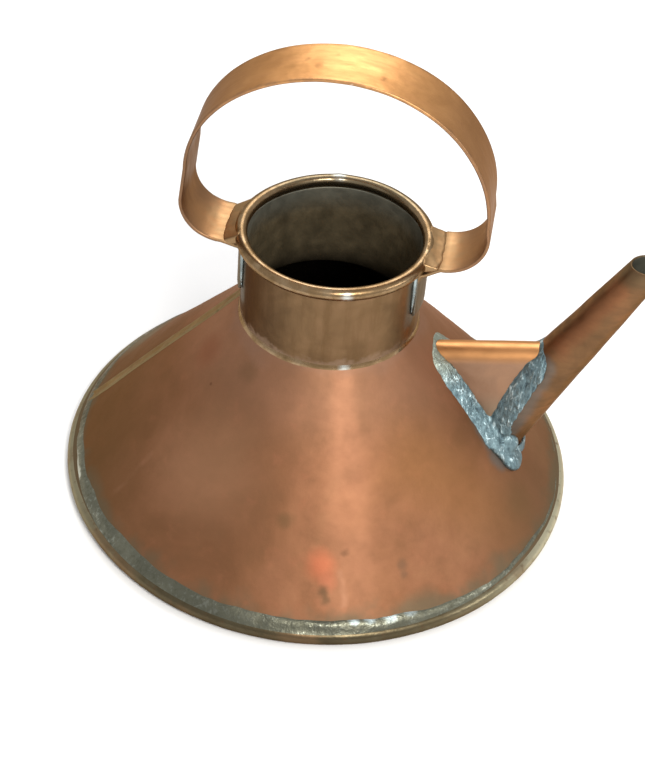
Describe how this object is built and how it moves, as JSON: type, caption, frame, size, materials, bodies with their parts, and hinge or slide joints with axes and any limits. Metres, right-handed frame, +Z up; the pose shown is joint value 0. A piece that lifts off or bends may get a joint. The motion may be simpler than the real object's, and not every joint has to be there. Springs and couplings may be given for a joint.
{
  "type": "watering can",
  "caption": "Hand-made copper watering can: conical body, short open neck, strap handle over the mouth, and a rising tapered spout braced by a folded gusset.",
  "frame": {"origin": "centre of the underside, where the can stands", "axes": "+Z up through the neck, +X towards the spout, +Y completes the right hand"},
  "size_m": [0.2535, 0.23, 0.213],
  "materials": {
    "copper_body": "warm brown oxidised sheet copper, satin",
    "copper_spout": "brown sheet copper, satin",
    "copper_handle": "worn golden-brown sheet copper, satin",
    "copper_neck": "dull brown sheet copper, satin",
    "brass_bead": "tarnished olive brass, satin",
    "solder": "blue-grey tin solder, lumpy"
  },
  "bodies": {
    "root": {"base_plate": "brass_bead", "base_rim_bead": "brass_bead", "base_solder_ring": "solder", "cone_body": "copper_body", "cone_seam_strip": "copper_body", "neck_tube": "copper_neck", "neck_rim_bead": "brass_bead", "neck_foot_solder": "solder", "handle_strap": "copper_handle", "handle_solder_spout_end_front": "solder", "handle_solder_spout_end_back": "solder", "handle_solder_seam_end_front": "solder", "handle_solder_seam_end_back": "solder", "spout_tube": "copper_spout", "spout_gusset": "copper_spout", "gusset_cone_solder": "solder", "gusset_spout_solder": "solder", "spout_root_solder": "solder"}
  },
  "joints": []
}
